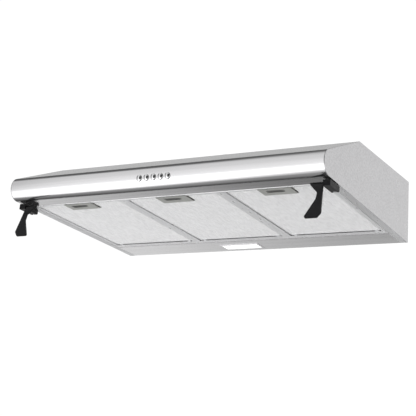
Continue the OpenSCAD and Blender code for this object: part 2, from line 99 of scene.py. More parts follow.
BOTTOM = bottom_frame()
TO_BOTTOM = BOTTOM.inverted()


def span(node):
    """Lowest and highest corner of a node in the bottom's own frame."""
    turned = np.array([TO_BOTTOM @ v.co for v in frame["nodes"][node].data.vertices])
    return Vector(turned.min(0)), Vector(turned.max(0))


def solids(node):
    """The boxes of a node's separate solids, from left to right and front to back."""
    bm = welded(node)
    boxes, seen = [], set()
    for start in bm.verts:
        if start in seen:
            continue
        island, edge = [], [start]
        seen.add(start)
        while edge:
            v = edge.pop()
            island.append(v.co.copy())
            for e in v.link_edges:
                other = e.other_vert(v)
                if other not in seen:
                    seen.add(other)
                    edge.append(other)
        co = np.array(island)
        boxes.append((Vector(co.min(0)), Vector(co.max(0))))
    bm.free()
    return sorted(boxes, key=lambda b: (round(b[0].x, 4), round(b[0].y, 4)))


def middle(box):
    return (box[0] + box[1]) / 2


def pattern(mount):
    """The hole centres of a bolt pattern mount in the row frame."""
    m = MOUNTS[mount]
    dims = m["dims"]
    wide, deep = dims["spacing_x_mm"], dims.get("spacing_y_mm", 0)
    return [Vector(m["pos_m"]) + MM * Vector((i * wide, j * deep, 0))
            for i in (-0.5, 0.5) for j in ((-0.5, 0.5) if deep else (0,))]


# ---------------------------------------------------------------- mesh tools

def welded(node):
    """A copy of a CAD node's mesh with its split corners joined and its flat faces whole."""
    bm = bmesh.new()
    bm.from_mesh(frame["nodes"][node].data)
    bmesh.ops.remove_doubles(bm, verts=bm.verts[:], dist=2e-6)
    bmesh.ops.dissolve_limit(bm, angle_limit=math.radians(0.5), verts=bm.verts[:], edges=bm.edges[:])
    return bm


def bevelled(bm, width, segments=2, angle=SHARP):
    """Rounds the sharp edges of a solid."""
    bmesh.ops.recalc_face_normals(bm, faces=bm.faces[:])
    sharp = [e for e in bm.edges if len(e.link_faces) == 2 and e.calc_face_angle(0) > angle]
    bmesh.ops.bevel(bm, geom=sharp, offset=width, segments=segments, profile=0.5,
                    affect="EDGES", clamp_overlap=True)
    return bm


def box_mesh(low, high, bevel=0.0, segments=2):
    bm = bmesh.new()
    bmesh.ops.create_cube(bm, size=1)
    low, high = Vector(low), Vector(high)
    for v in bm.verts:
        v.co = Vector((low[i] + (v.co[i] + 0.5) * (high[i] - low[i]) for i in range(3)))
    return bevelled(bm, bevel, segments) if bevel else bm


def joined(*meshes):
    """One mesh out of several."""
    whole = meshes[0]
    for bm in meshes[1:]:
        part = bpy.data.meshes.new("part")
        bm.to_mesh(part)
        whole.from_mesh(part)
        bpy.data.meshes.remove(part)
        bm.free()
    return whole


def moved(bm, matrix):
    bm.transform(matrix)
    if matrix.to_3x3().determinant() < 0:
        bmesh.ops.reverse_faces(bm, faces=bm.faces[:])
    return bm


def prism(loops, low, high, bevel=0.0, segments=2):
    """A flat plate between two heights; the first loop is its outline and the others are holes."""
    bm = bmesh.new()
    edges = []
    for loop in loops:
        ring = [bm.verts.new((x, y, low)) for x, y in loop]
        edges += [bm.edges.new((ring[i - 1], ring[i])) for i in range(len(ring))]
    bmesh.ops.triangle_fill(bm, use_beauty=True, edges=edges)
    bmesh.ops.dissolve_limit(bm, angle_limit=0.01, verts=bm.verts[:], edges=bm.edges[:])
    raised = bmesh.ops.extrude_face_region(bm, geom=bm.faces[:])["geom"]
    for v in raised:
        if isinstance(v, bmesh.types.BMVert):
            v.co.z = high
    bmesh.ops.recalc_face_normals(bm, faces=bm.faces[:])
    return bevelled(bm, bevel, segments) if bevel else bm


def lofted(rings, closed=False, caps=True):
    """A skin over rings with the same number of points; closed joins the last ring to the first."""
    bm = bmesh.new()
    rows = [[bm.verts.new(p) for p in ring] for ring in rings]
    count = len(rows[0])
    for i in range(len(rows) if closed else len(rows) - 1):
        a, b = rows[i], rows[(i + 1) % len(rows)]
        for k in range(count):
            bm.faces.new((a[k - 1], a[k], b[k], b[k - 1]))
    if caps and not closed:
        bm.faces.new(rows[0])
        bm.faces.new(rows[-1])
    bmesh.ops.recalc_face_normals(bm, faces=bm.faces[:])
    return bm


def turned(profile, steps=48):
    """A solid of revolution about Z from (radius, height) points; a radius of 0 closes an end."""
    rings, poles = [], {}
    bm = bmesh.new()
    for i, (r, z) in enumerate(profile):
        if r < 1e-9:
            poles[i] = bm.verts.new((0, 0, z))
            rings.append(None)
        else:
            rings.append([bm.verts.new((r * math.cos(a), r * math.sin(a), z))
                          for a in (2 * math.pi * k / steps for k in range(steps))])
    closed = not poles
    for i in range(len(profile) if closed else len(profile) - 1):
        j = (i + 1) % len(profile)
        for k in range(steps):
            if rings[i] is None:
                bm.faces.new((poles[i], rings[j][k - 1], rings[j][k]))
            elif rings[j] is None:
                bm.faces.new((rings[i][k - 1], rings[i][k], poles[j]))
            else:
                bm.faces.new((rings[i][k - 1], rings[i][k], rings[j][k], rings[j][k - 1]))
    bmesh.ops.recalc_face_normals(bm, faces=bm.faces[:])
    return bm


def cylinder(centre, radius, low, high, steps=48):
    """A cutter standing along Z."""
    bm = turned([(0, low), (radius, low), (radius, high), (0, high)], steps)
    return moved(bm, Matrix.Translation((centre[0], centre[1], 0)))


def cut(bm, tool):
    """bm without the space that the tool takes."""
    objects = []
    for mesh_from in (bm, tool):
        mesh = bpy.data.meshes.new("cut")
        mesh_from.to_mesh(mesh)
        mesh_from.free()
        ob = bpy.data.objects.new("cut", mesh)
        bpy.context.scene.collection.objects.link(ob)
        objects.append(ob)
    modifier = objects[0].modifiers.new("cut", "BOOLEAN")
    modifier.operation = "DIFFERENCE"
    modifier.solver = "EXACT"
    modifier.object = objects[1]
    result = bmesh.new()
    result.from_object(objects[0], bpy.context.evaluated_depsgraph_get())
    for ob in objects:
        mesh = ob.data
        bpy.data.objects.remove(ob)
        bpy.data.meshes.remove(mesh)
    return result


def rounded_corner(before, corner, after, radius, steps):
    """Points and their left normals along the arc that rounds a corner of a path."""
    a, b = (corner - before).normalized(), (after - corner).normalized()
    turn = math.atan2(a.x * b.y - a.y * b.x, a.dot(b))
    reach = radius * math.tan(abs(turn) / 2)
    side = 1 if turn > 0 else -1
    left = Vector((-a.y, a.x))
    centre = corner - a * reach + left * radius * side
    found = []
    for i in range(steps + 1):
        normal = left.copy()
        normal.rotate(Matrix.Rotation(turn * i / steps, 2))
        found.append((centre - normal * radius * side, normal))
    return found


def folded(path, thickness, radius, steps=5):
    """The closed outline of a sheet folded along a path: the path is one face and the sheet lies
    on its left. radius is the outer radius of each bend."""
    path = [Vector(p) for p in path]
    face = []
    for i, p in enumerate(path):
        if i in (0, len(path) - 1):
            d = (path[1] - p if i == 0 else p - path[-2]).normalized()
            face.append((p, Vector((-d.y, d.x))))
            continue
        a, b = p - path[i - 1], path[i + 1] - p
        turn = math.atan2(a.x * b.y - a.y * b.x, a.dot(b))
        r = radius if turn > 0 else radius - thickness
        if abs(turn) < math.radians(12):
            n = (Vector((-a.y, a.x)).normalized() + Vector((-b.y, b.x)).normalized()).normalized()
            face.append((p, n))
        else:
            face += rounded_corner(path[i - 1], p, path[i + 1], r, steps)
    return [p for p, _ in face] + [p + n * thickness for p, n in reversed(face)]


def swept_x(outline, x0, x1, matrix=None, cuts=1):
    """A solid with a (y, z) outline, drawn out along X."""
    xs = [x0 + (x1 - x0) * i / cuts for i in range(cuts + 1)]
    bm = lofted([[(x, p[0], p[1]) for p in outline] for x in xs])
    return moved(bm, matrix) if matrix else bm


# ---------------------------------------------------------------- pieces

def piece(node, bm, material, name=None, replaces=True):
    """Makes a mesh into a piece that stands for a CAD node, on that node's body."""
    bmesh.ops.recalc_face_normals(bm, faces=bm.faces[:])
    for f in bm.faces:
        f.smooth = True
    for e in bm.edges:
        if len(e.link_faces) != 2 or e.calc_face_angle(0) > SHARP:
            e.smooth = False
    name = name or node + "_detailed"
    mesh = bpy.data.meshes.new(name)
    bm.to_mesh(mesh)
    bm.free()
    ob = bpy.data.objects.new(name, mesh)
    bpy.context.scene.collection.objects.link(ob)
    mesh.materials.append(material)
    weighted = ob.modifiers.new("weighted_normals", "WEIGHTED_NORMAL")
    weighted.keep_sharp = True
    if replaces:
        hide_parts(node)
    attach(ob, BODY_OF[node])
    return ob


def softened(node, material, bevel=0.4 * MM, segments=2, split=False):
    """The CAD node's own shape with its sharp edges rounded; split cuts faces that have windows
    or notches into triangles."""
    bm = bevelled(welded(node), bevel, segments)
    if split:
        bmesh.ops.triangulate(bm, faces=[f for f in bm.faces if len(f.verts) > 4])
    return piece(node, bm, material)


# ---------------------------------------------------------------- materials

class Finish:
    """A node material that is built up step by step around one Principled shader."""

    def __init__(self, name, colour, metallic, roughness):
        self.material = bpy.data.materials.new(name)
        self.material.use_nodes = True
        self.material.diffuse_color = (*colour, 1)
        self.tree = self.material.node_tree
        self.shader = self.tree.nodes["Principled BSDF"]
        self.shader.inputs["Base Color"].default_value = (*colour, 1)
        self.shader.inputs["Metallic"].default_value = metallic
        self.shader.inputs["Roughness"].default_value = roughness
        self.colour = colour
        self.roughness = roughness

    def node(self, kind, **values):
        node = self.tree.nodes.new(kind)
        for key, value in values.items():
            setattr(node, key, value)
        return node

    def link(self, out, into):
        self.tree.links.new(out, into)

    def noise(self, scale, detail=3.0, stretch=(1, 1, 1), turn=(0, 0, 0)):
        """A noise pattern in the row frame: scale is per metre, and stretch sets its grain."""
        place = self.node("ShaderNodeTexCoord")
        mapping = self.node("ShaderNodeMapping")
        mapping.inputs["Scale"].default_value = stretch
        mapping.inputs["Rotation"].default_value = turn
        texture = self.node("ShaderNodeTexNoise")
        texture.inputs["Scale"].default_value = scale
        texture.inputs["Detail"].default_value = detail
        self.link(place.outputs["Object"], mapping.inputs["Vector"])
        self.link(mapping.outputs["Vector"], texture.inputs["Vector"])
        return texture.outputs["Fac"]

    def tint(self, pattern, amount, low=0.3, high=0.7):
        """The colour varies by a share of itself over a pattern."""
        ramp = self.node("ShaderNodeValToRGB")
        ramp.color_ramp.elements[0].position = low
        ramp.color_ramp.elements[1].position = high
        ramp.color_ramp.elements[0].color = (*[c * (1 - amount) for c in self.colour], 1)
        ramp.color_ramp.elements[1].color = (*[min(1, c * (1 + amount)) for c in self.colour], 1)
        self.link(pattern, ramp.inputs["Fac"])
        self.link(ramp.outputs["Color"], self.shader.inputs["Base Color"])
        return self

    def gloss(self, pattern, amount, low=0.3, high=0.7):
        """The roughness varies by this much up and down over a pattern."""
        span_node = self.node("ShaderNodeMapRange")
        span_node.inputs["From Min"].default_value = low
        span_node.inputs["From Max"].default_value = high
        span_node.inputs["To Min"].default_value = self.roughness - amount
        span_node.inputs["To Max"].default_value = self.roughness + amount
        self.link(pattern, span_node.inputs["Value"])
        self.link(span_node.outputs["Result"], self.shader.inputs["Roughness"])
        return self

    def bump(self, pattern, strength, distance):
        node = self.node("ShaderNodeBump")
        node.inputs["Strength"].default_value = strength
        node.inputs["Distance"].default_value = distance
        self.link(pattern, node.inputs["Height"])
        self.link(node.outputs["Normal"], self.shader.inputs["Normal"])
        return self

    def set(self, **values):
        for key, value in values.items():
            self.shader.inputs[key.replace("_", " ")].default_value = value
        return self


def brushed(name, tone, roughness, stretch, tint=0.05, metallic=1.0, groove=0.06):
    """Brushed metal: long fine streaks, a coarser layer of them, and soft clouding."""
    f = Finish(name, tone, metallic, roughness)
    fine = f.noise(40, 4, stretch)
    coarse = f.noise(7, 3, stretch)
    return f.tint(coarse, tint).gloss(fine, 0.03).bump(fine, groove, 0.05 * MM).material


def satin(name, tone, roughness):
    """Satin metal: a fine mottled grain with soft clouding."""
    f = Finish(name, tone, 1.0, roughness)
    grain = f.noise(330, 3, (1, 0.55, 1))
    return f.tint(grain, 0.11).gloss(f.noise(30, 4), 0.03).bump(f.noise(700, 2), 0.02, 0.03 * MM).material


def cast(name, colour, roughness, grain=900, tint=0.12, depth=0.03 * MM, metallic=0.0):
    """Moulded plastic, paint or plated metal with a fine even grain and faint clouding."""
    f = Finish(name, colour, metallic, roughness)
    f.tint(f.noise(25, 4), tint).gloss(f.noise(60, 5), 0.05)
    return f.bump(f.noise(grain, 2), 0.25, depth).material


def finishes():
    made = {
        "steel_x": brushed("steel_brushed_across", (0.74, 0.735, 0.745), 0.14, (0.12, 14, 14)),
        "steel_side": satin("steel_satin_side", (0.70, 0.695, 0.705), 0.3),
        "steel_back": brushed("steel_back", (0.62, 0.62, 0.63), 0.34, (0.2, 9, 9)),
        "tray": brushed("tray_aluminium", (0.84, 0.84, 0.85), 0.3, (6, 0.8, 6), 0.03, 0.6, 0.015),
        "rail": brushed("rail_steel", (0.74, 0.74, 0.75), 0.3, (6, 0.8, 6), 0.03, 0.7, 0.015),
        "frame": brushed("filter_frame", (0.86, 0.86, 0.87), 0.36, (5, 1, 5), 0.03, metallic=0.5),
        "plate": cast("latch_plate", (0.44, 0.445, 0.425), 0.4, 700, 0.04, metallic=0.5),
        "cup": cast("latch_cup", (0.36, 0.36, 0.355), 0.45, 500, 0.1, metallic=0.5),
        # Painted shade: a darker grey for the mat's backing sheet, standing for the shadow deep inside the filter
        # mat
        "mesh_painted_shade": cast("filter_mesh_painted_shade", (0.5, 0.5, 0.505), 0.5, 400, 0.1, metallic=0.4),
        "zinc": cast("zinc_plated", (0.62, 0.62, 0.63), 0.3, 800, 0.06, metallic=1.0),
        "galvanised": cast("galvanised_sheet", (0.56, 0.57, 0.58), 0.42, 120, 0.18, metallic=0.9),
        "impeller": cast("impeller_aluminium", (0.68, 0.68, 0.69), 0.34, 600, 0.05, metallic=1.0),
        "damper": cast("damper_sheet", (0.7, 0.7, 0.71), 0.3, 600, 0.05, metallic=1.0),
        "motor": cast("motor_paint", (0.05, 0.05, 0.055), 0.45, 500, 0.2, metallic=0.3),
        "collar": cast("collar_plastic", (0.035, 0.035, 0.038), 0.45),
        "dark": cast("dark_plastic", (0.02, 0.02, 0.022), 0.5),
        "sheath": cast("cable_sheath", (0.05, 0.05, 0.053), 0.5, 300, 0.15),
        "white": cast("white_plastic", (0.75, 0.75, 0.72), 0.45, tint=0.03),
        "enamel": cast("white_enamel", (0.82, 0.82, 0.82), 0.3, tint=0.02),
        "spring": cast("spring_steel", (0.4, 0.4, 0.41), 0.3, 900, 0.05, metallic=1.0),
    }
    black = Finish("latch_plastic", (0.007, 0.007, 0.008), 0.0, 0.36)
    black.tint(black.noise(30, 3), 0.25).gloss(black.noise(120, 3), 0.06)
    black.bump(black.noise(1400, 2), 0.2, 0.03 * MM)
    made["black"] = black.set(Specular_IOR_Level=0.19).material
    chrome = Finish("button_chrome", (0.86, 0.86, 0.87), 1.0, 0.07)
    made["chrome"] = chrome.tint(chrome.noise(400, 2), 0.02).gloss(chrome.noise(900, 3), 0.03).material
    mesh = Finish("filter_mesh", (0.88, 0.88, 0.885), 0.35, 0.4)
    mesh.tint(mesh.noise(260, 3, (1, 0.2, 1), (0, 0, math.radians(40))), 0.09)
    made["mesh"] = mesh.gloss(mesh.noise(300, 3), 0.06).bump(mesh.noise(900, 2), 0.15, 0.05 * MM).material
    lens = Finish("lamp_lens", (0.95, 0.95, 0.95), 0.0, 0.22)
    lens.tint(lens.noise(60, 2), 0.02).set(Emission_Color=(1, 1, 0.99, 1), Emission_Strength=0.62)
    made["lens"] = lens.bump(lens.noise(500, 1), 0.3, 0.1 * MM).material
    bulb = Finish("frosted_bulb", (0.95, 0.94, 0.88), 0.0, 0.25)
    made["bulb"] = bulb.tint(bulb.noise(80, 2), 0.03).set(Emission_Color=(1, 0.95, 0.85, 1),
                                                          Emission_Strength=0.6).material
    return made


LOOK = finishes()


# ---------------------------------------------------------------- shell

def fitted_circle(points):
    """Centre and radius of the circle through (y, z) points."""
    table = np.column_stack([points, np.ones(len(points))])
    solved = np.linalg.lstsq(table, -(points ** 2).sum(1), rcond=None)[0]
    centre = -solved[:2] / 2
    return Vector(centre), math.sqrt(centre @ centre - solved[2])


def side_outline():
    """What the hood's side outline is drawn from: nose circle, corners and slope."""
    shell = points_of("side_panel_right")
    front, back = shell[:, 1].min(), shell[:, 1].max()
    nose = np.unique(shell[shell[:, 1] < front + 12 * MM][:, 1:].round(6), axis=0)
    outer = [p for p in nose if p[0] < front + 10 * MM]
    centre, radius = fitted_circle(np.array([p for p in outer if on_skin(p, shell)]))
    top = shell[shell[:, 2] > -0.01 * MM]
    return centre, radius, top[:, 1].min(), back


def on_skin(p, shell):
    """True if a point of the side outline is also on the plate's outer face."""
    outer = shell[shell[:, 0] > shell[:, 0].max() - 0.01 * MM]
    return np.abs(outer[:, 1:] - p).max(1).min() < 0.002 * MM


NOSE, NOSE_R, TOP_FRONT, BACK_Y = side_outline()
TILT = math.atan2(-BOTTOM.col[1].z, BOTTOM.col[1].y)
SLOPE = (math.atan2(0 - NOSE.y, TOP_FRONT - NOSE.x)
         + math.acos(NOSE_R / (Vector((TOP_FRONT, 0)) - NOSE).length) - math.pi / 2)
NOSE_STEPS = 60


def nose_arc(inset):
    """The rounded front from the slope round to the underside."""
    up, down = math.pi / 2 + SLOPE, math.pi * 1.5 - TILT
    return [NOSE + (NOSE_R - inset) * Vector((math.cos(a), math.sin(a)))
            for a in (up + (down - up) * i / NOSE_STEPS for i in range(NOSE_STEPS + 1))]


def on_underside(s, n=0.0):
    """(y, z) in the row frame of a place on the underside."""
    p = BOTTOM @ Vector((0, s, n))
    return Vector((p.y, p.z))


FLANGE_S = span("tray_front_bar")[0].y - 1.6 * MM
LIP_H = 12 * MM
BEND_R = 2.2 * MM
BUTTON_GAP = 0.5 * MM
GLAND_HOLE_R = 8.05 * MM


def canopy():
    """Wrapped front: top, slope, nose, underside flange and its turned-up lip, in one sheet."""
    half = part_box("canopy_sheet")[1].x
    path = [Vector((BACK_Y, 0)), Vector((TOP_FRONT, 0)), *nose_arc(0),
            on_underside(FLANGE_S), on_underside(FLANGE_S, LIP_H)]
    bm = swept_x(folded(path, SHEET_T, BEND_R), -half, half, cuts=60)
    tools = []
    for name in BUTTONS:
        c = middle(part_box(name))
        hole = cylinder((0, 0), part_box(name)[1].x - c.x + BUTTON_GAP, -20 * MM, 20 * MM)
        place = Matrix.Translation((c.x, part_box(name)[0].y, c.z)) @ Matrix.Rotation(math.pi / 2, 4, "X")
        tools.append(moved(hole, place))
    deep = (-5 * MM, 5 * MM)
    duct = middle(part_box("duct_collar"))
    collar_wall = 2 * MM
    tools.append(cylinder(duct, MOUNTS["duct_collar"]["dims"]["r_mm"] * MM - collar_wall, *deep, steps=96))
    tools.append(cylinder(middle(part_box("cable_gland")), GLAND_HOLE_R, *deep))
    tools += [cylinder(p, MOUNTS["cabinet_screws"]["dims"]["hole_r_mm"] * MM, *deep)
              for p in pattern("cabinet_screws")]
    piece("canopy_sheet", cut(bm, joined(*tools)), LOOK["steel_x"])


def plate_outline(inset):
    """The side plate's outline, moved inwards."""
    bottom_back = on_underside(0)
    slope_back = (BACK_Y - inset - bottom_back.x) * math.tan(TILT)
    return [Vector((TOP_FRONT + inset * math.tan(SLOPE / 2), -inset)),
            Vector((BACK_Y - inset, -inset)),
            Vector((BACK_Y - inset, bottom_back.y - slope_back + inset / math.cos(TILT))),
            *reversed(nose_arc(inset))]


def side_panel(side):
    """Flat plate with a rounded rim, and the flange folded in under the wrapped sheet."""
    outer = CAD_BOX[1].x
    rim = 0.7 * MM
    rings = [(0, outer - SHEET_T)]
    for i in range(6):
        a = math.pi / 2 * i / 5
        rings.append((rim * (1 - math.cos(a)), outer - rim + rim * math.sin(a)))
    plate = lofted([[(x, *p) for p in plate_outline(inset)] for inset, x in rings])
    strip = [Vector((BACK_Y - SHEET_T, -SHEET_T)), Vector((TOP_FRONT, -SHEET_T)), *nose_arc(SHEET_T),
             on_underside(FLANGE_S - 1.5 * MM, SHEET_T)]
    width = 12 * MM
    flange = swept_x(folded(strip, SHEET_T, BEND_R), outer - SHEET_T - width, outer - SHEET_T)
    bm = joined(plate, flange)
    if side == "left":
        moved(bm, Matrix.Scale(-1, 4, (1, 0, 0)))
    piece(f"side_panel_{side}", bm, LOOK["steel_side"])


def back_panel():
    low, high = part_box("back_panel")
    loop = [(low.x, low.z), (high.x, low.z), (high.x, high.z), (low.x, high.z)]
    holes = [ring_points(p.x, p.z, MOUNTS["wall_screws"]["dims"]["hole_r_mm"] * MM, 32)
             for p in pattern("wall_screws")]
    bm = prism([loop, *holes], 0, SHEET_T, 0.25 * MM)
    moved(bm, Matrix.Translation((0, high.y, 0)) @ Matrix.Rotation(math.pi / 2, 4, "X"))
    piece("back_panel", bm, LOOK["steel_back"])


def ring_points(x, y, radius, steps):
    return [(x + radius * math.cos(a), y + radius * math.sin(a))
            for a in (2 * math.pi * k / steps for k in range(steps))]


def rear_panel():
    """Fixed panel behind the tray, folded up at its front, with the lamp's cut-out."""
    softened("rear_panel", LOOK["steel_x"], 0.2 * MM)


def side_rail(side):
    softened(f"side_rail_{side}", LOOK["rail"], 0.3 * MM)


# ---------------------------------------------------------------- tray

def tray():
    """Front and rear bars are angles, and the sides and dividers are channels."""
    r = 1.6 * MM
    low, high = span("tray_front_bar")
    outline = folded([(low.y, high.z), (low.y, low.z), (high.y, low.z)], SHEET_T, r)
    piece("tray_front_bar", swept_x(outline, low.x, high.x, BOTTOM), LOOK["tray"])
    softened("tray_rear_bar", LOOK["tray"], 0.5 * MM)
    for node in ("tray_side_left", "tray_side_right", "tray_divider_left", "tray_divider_right"):
        softened(node, LOOK["tray"], 0.35 * MM)


# ---------------------------------------------------------------- filters

def rounded_rect(cx, cy, hw, hd, radius, steps=5):
    """A rectangle with rounded corners, as a loop of points."""
    found = []
    for quarter, (sx, sy) in enumerate(((1, 1), (-1, 1), (-1, -1), (1, -1))):
        for i in range(steps + 1):
            a = math.pi / 2 * (quarter + i / steps)
            found.append((cx + sx * (hw - radius) + radius * math.cos(a),
                          cy + sy * (hd - radius) + radius * math.sin(a)))
    return found


LIP_W = 3.2 * MM
FOIL = 0.8 * MM
CHANNEL_W = 7 * MM
# The latch tongues' slots in a filter's front wall
TONGUE_X = 30 * MM
TONGUE_HALF_W = 5 * MM
TONGUE_LOW, TONGUE_HIGH = 2.4 * MM, 4.6 * MM
# The tabs that reach over the tray's rear bar
TAB_X = 98 * MM
TAB_HALF_W = 4 * MM
TAB_LOW, TAB_HIGH = 1.3 * MM, 2.3 * MM
TAB_CHAMFER = MM


def filter_frame(side):
    """Rolled channel round the mat, with two tabs at the back and slots for the latch tongues."""
    node = f"filter_frame_{side}"
    low, high = span(node)
    back = span(f"filter_mesh_{side}")[1].y + FOIL
    cx, cy = (low.x + high.x) / 2, (low.y + back) / 2
    hw, hd = (high.x - low.x) / 2, (back - low.y) / 2
    corner = 3 * MM
    round_r = 0.6 * MM
    path = [(LIP_W, low.z), (0, low.z), (0, high.z), (CHANNEL_W, high.z)]
    outline = folded([(x, n) for x, n in reversed(path)], FOIL, 1.1 * MM)
    rings = []
    for inset, n in outline:
        loop = rounded_rect(cx, cy, hw - inset, hd - inset, max(corner - inset, round_r))
        rings.append([(x, y, n) for x, y in loop])
    bm = lofted(rings, closed=True)
    slots = [box_mesh((cx + x - TONGUE_HALF_W, low.y - MM, TONGUE_LOW),
                      (cx + x + TONGUE_HALF_W, low.y + 3 * MM, TONGUE_HIGH)) for x in (-TONGUE_X, TONGUE_X)]
    bm = cut(bm, joined(*slots))
    for x in (cx - TAB_X, cx + TAB_X):
        left, right, front = x - TAB_HALF_W, x + TAB_HALF_W, back - 0.5 * MM
        loop = [(left, front), (right, front), (right, high.y - TAB_CHAMFER), (right - TAB_CHAMFER, high.y),
                (left + TAB_CHAMFER, high.y), (left, high.y - TAB_CHAMFER)]
        bm = joined(bm, prism([loop], TAB_LOW, TAB_HIGH, 0.25 * MM))
    piece(node, moved(bm, BOTTOM), LOOK["frame"])


def clipped(p, d, boxes_out, rect):
    """The stretches of a line through p along d that lie in rect and outside the notch."""
    def crossing(low, high):
        a, b = -1e9, 1e9
        for i in (0, 1):
            if abs(d[i]) < 1e-12:
                if not low[i] <= p[i] <= high[i]:
                    return None
                continue
            t0, t1 = sorted(((low[i] - p[i]) / d[i], (high[i] - p[i]) / d[i]))
            a, b = max(a, t0), min(b, t1)
        return (a, b) if b > a else None
    whole = crossing(*rect)
    if not whole:
        return []
    gap = crossing(*boxes_out)
    if not gap:
        return [whole]
    before, after = (whole[0], min(whole[1], gap[0])), (max(whole[0], gap[1]), whole[1])
    return [(a, b) for a, b in (before, after) if b - a > MM]


def strand(bm, start, end, width, low, high):
    """A flattened wire between two places on the mat, with sloping sides."""
    d = (end - start).normalized()
    side = Vector((-d.y, d.x))
    ends = []
    for p in (start, end):
        ends.append([bm.verts.new((*(p + side * k * width), n))
                     for k, n in ((-0.5, high), (-0.3, low), (0.3, low), (0.5, high))])
    a, b = ends
    for k in range(4):
        bm.faces.new((a[k - 1], a[k], b[k], b[k - 1]))
    bm.faces.new(a)
    bm.faces.new(list(reversed(b)))


def filter_mesh(side):
    """Expanded metal mat: a flat backing sheet and two crossing families of strands on its face. The backing's
    darker grey is painted shade for the shadow deep inside the mat.
    """
    node = f"filter_mesh_{side}"
    low, high = span(node)
    cup_low, cup_high = span(f"filter_latch_cup_{side}")
    notch = ((cup_low.x, low.y - MM), (cup_high.x, cup_high.y))
    rect = ((low.x + 0.6 * MM, low.y + 0.6 * MM), (high.x - 0.6 * MM, high.y - 0.6 * MM))
    face = low.z - 0.55 * MM
    loop = [(low.x, low.y), (cup_low.x, low.y), (cup_low.x, cup_high.y), (cup_high.x, cup_high.y),
            (cup_high.x, low.y), (high.x, low.y), (high.x, high.y), (low.x, high.y)]
    bm = prism([loop], low.z, high.z, 0.15 * MM, 1)
    # The backing takes the second material, a darker grey that is painted shade for the depth of the mat
    for f in bm.faces:
        f.material_index = 1
    pitch, width = 4.4 * MM, 2.1 * MM
    for turn, lower, upper in ((math.radians(32), face, low.z + 0.2 * MM),
                               (math.radians(-32), face + 0.12 * MM, low.z + 0.2 * MM)):
        d = Vector((math.cos(turn), math.sin(turn)))
        across = Vector((-d.y, d.x))
        centre = Vector(((low.x + high.x) / 2, (low.y + high.y) / 2))
        reach = (Vector((high.x, high.y)) - Vector((low.x, low.y))).length / 2
        for i in range(-int(reach / pitch), int(reach / pitch) + 1):
            p = centre + across * pitch * i
            for a, b in clipped(p, d, notch, rect):
                strand(bm, p + d * a, p + d * b, width, lower, upper)
    piece(node, moved(bm, BOTTOM), LOOK["mesh"]).data.materials.append(LOOK["mesh_painted_shade"])


def latch_plate(side):
    softened(f"filter_latch_plate_{side}", LOOK["plate"], 0.35 * MM, split=True)


# ---------------------------------------------------------------- latches, buttons, lamp

def corner_latches():
    for side in ("left", "right"):
        softened(f"latch_bar_{side}", LOOK["black"], 0.7 * MM, 3)
        softened(f"latch_lever_{side}", LOOK["black"], 0.6 * MM, 3)


def button(name):
    """Polished cap with a domed face and a rounded shoulder, on a plain stem."""
    low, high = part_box(name)
    c = middle((low, high))
    r = (high.x - low.x) / 2
    length = high.y - low.y
    shoulder = 0.5 * MM
    flat_r = r - shoulder
    sag = 1.9 * MM
    dome_r = (flat_r ** 2 + sag ** 2) / (2 * sag)
    profile = [(0, 0)]
    for i in range(1, 13):
        x = flat_r * i / 12
        profile.append((x, dome_r - math.sqrt(dome_r ** 2 - x ** 2)))
    for i in range(1, 5):
        a = math.pi / 2 * i / 4
        profile.append((flat_r + shoulder * math.sin(a), sag + shoulder * (1 - math.cos(a))))
    stem_r, cap_d, tip = 3 * MM, 9 * MM, 0.3 * MM
    profile += [(r, cap_d), (stem_r, cap_d + tip), (stem_r, length - tip), (stem_r - tip, length)]
    profile.append((0, length))
    bm = turned(profile, 64)
    moved(bm, Matrix.Translation((c.x, low.y, c.z)) @ Matrix.Rotation(-math.pi / 2, 4, "X"))
    piece(name, bm, LOOK["chrome"])


def lamp():
    softened("lamp_frame", LOOK["steel_x"], 0.5 * MM, 3)
    low, high = span("lamp_lens")
    cx, cy = (low.x + high.x) / 2, (low.y + high.y) / 2
    hw, hd = (high.x - low.x) / 2, (high.y - low.y) / 2
    rings = []
    for inset, n in ((0, high.z), (0, low.z + 0.5 * MM), (0.3 * MM, low.z + 0.15 * MM), (1.2 * MM, low.z)):
        rings.append([(x, y, n) for x, y in rounded_rect(cx, cy, hw - inset, hd - inset, 1.4 * MM)])
    piece("lamp_lens", moved(lofted(rings), BOTTOM), LOOK["lens"])


# ---------------------------------------------------------------- inside and top

def cross_screws(node):
    """Screws that stand along Z, with a cross recess in each head."""
    arm, slit, deep = 1.9 * MM, 0.4 * MM, 0.9 * MM
    bm = bevelled(welded(node), 0.35 * MM, 3)
    heads = [(middle(box), box[1].z) for box in solids(node)]
    for wide, narrow in ((arm, slit), (slit, arm)):
        bars = [box_mesh((c.x - wide, c.y - narrow, top - deep), (c.x + wide, c.y + narrow, top + MM))
                for c, top in heads]
        bm = cut(bm, joined(*bars))
    piece(node, bm, LOOK["zinc"])


def duct_collar():
    """The collar with two raised beads below its rim."""
    node = "duct_collar"
    softened(node, LOOK["collar"], 0.6 * MM, 3)
    low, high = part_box(node)
    c = middle((low, high))
    rim = points_of(node)
    rim = rim[rim[:, 2] > high.z - 0.1 * MM]
    radius = np.hypot(rim[:, 0] - c.x, rim[:, 1] - c.y).max()
    proud, half = 1.1 * MM, 1.8 * MM
    beads = []
    for z in (high.z - 6 * MM, high.z - 14 * MM):
        arc = [math.pi * (i / 8 - 0.5) for i in range(9)]
        profile = [(radius + proud * math.cos(a), z + half * math.sin(a)) for a in arc]
        profile += [(radius - proud, z + half), (radius - proud, z - half)]
        beads.append(turned(profile, 96))
    bm = moved(joined(*beads), Matrix.Translation((c.x, c.y, 0)))
    piece(node, bm, LOOK["collar"], "duct_collar_beads", replaces=False)


